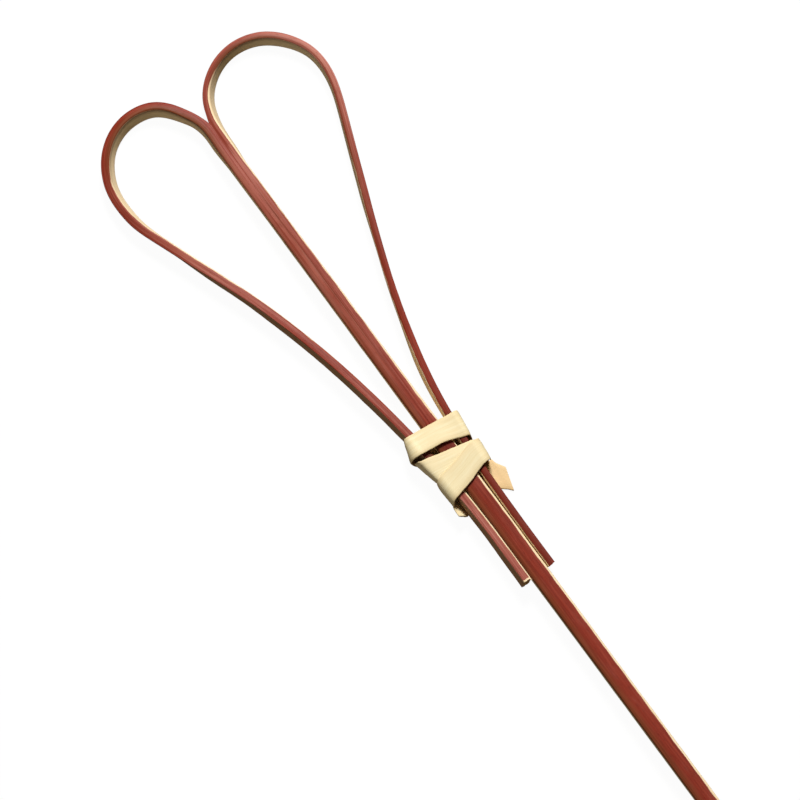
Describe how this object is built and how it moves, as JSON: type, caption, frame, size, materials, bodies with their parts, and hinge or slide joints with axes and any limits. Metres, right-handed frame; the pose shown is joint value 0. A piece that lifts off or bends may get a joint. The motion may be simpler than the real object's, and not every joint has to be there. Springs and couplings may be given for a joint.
{
  "type": "knotted heart food pick",
  "caption": "Slim bamboo food pick: a stained splint split into two strips that loop into a heart, tied back to the stem with a knotted natural bamboo ribbon.",
  "frame": {"origin": "under the middle of the whole pick, on the surface that it lies on", "axes": "+Y along the stem from the sharpened point to the heart, +Z out of the stained skin, +X to the right seen from the skin side with the loops up"},
  "size_m": [0.026, 0.1202, 0.0028],
  "materials": {
    "stained_bamboo": "satin stain on the skin, natural bamboo on the cut sides",
    "natural_ribbon": "natural shaved bamboo, fine fibres along the ribbon"
  },
  "bodies": {
    "root": {"stem": "stained_bamboo", "left_loop_strip": "stained_bamboo", "right_loop_strip": "stained_bamboo", "tie_ribbon": "natural_ribbon"}
  },
  "joints": []
}
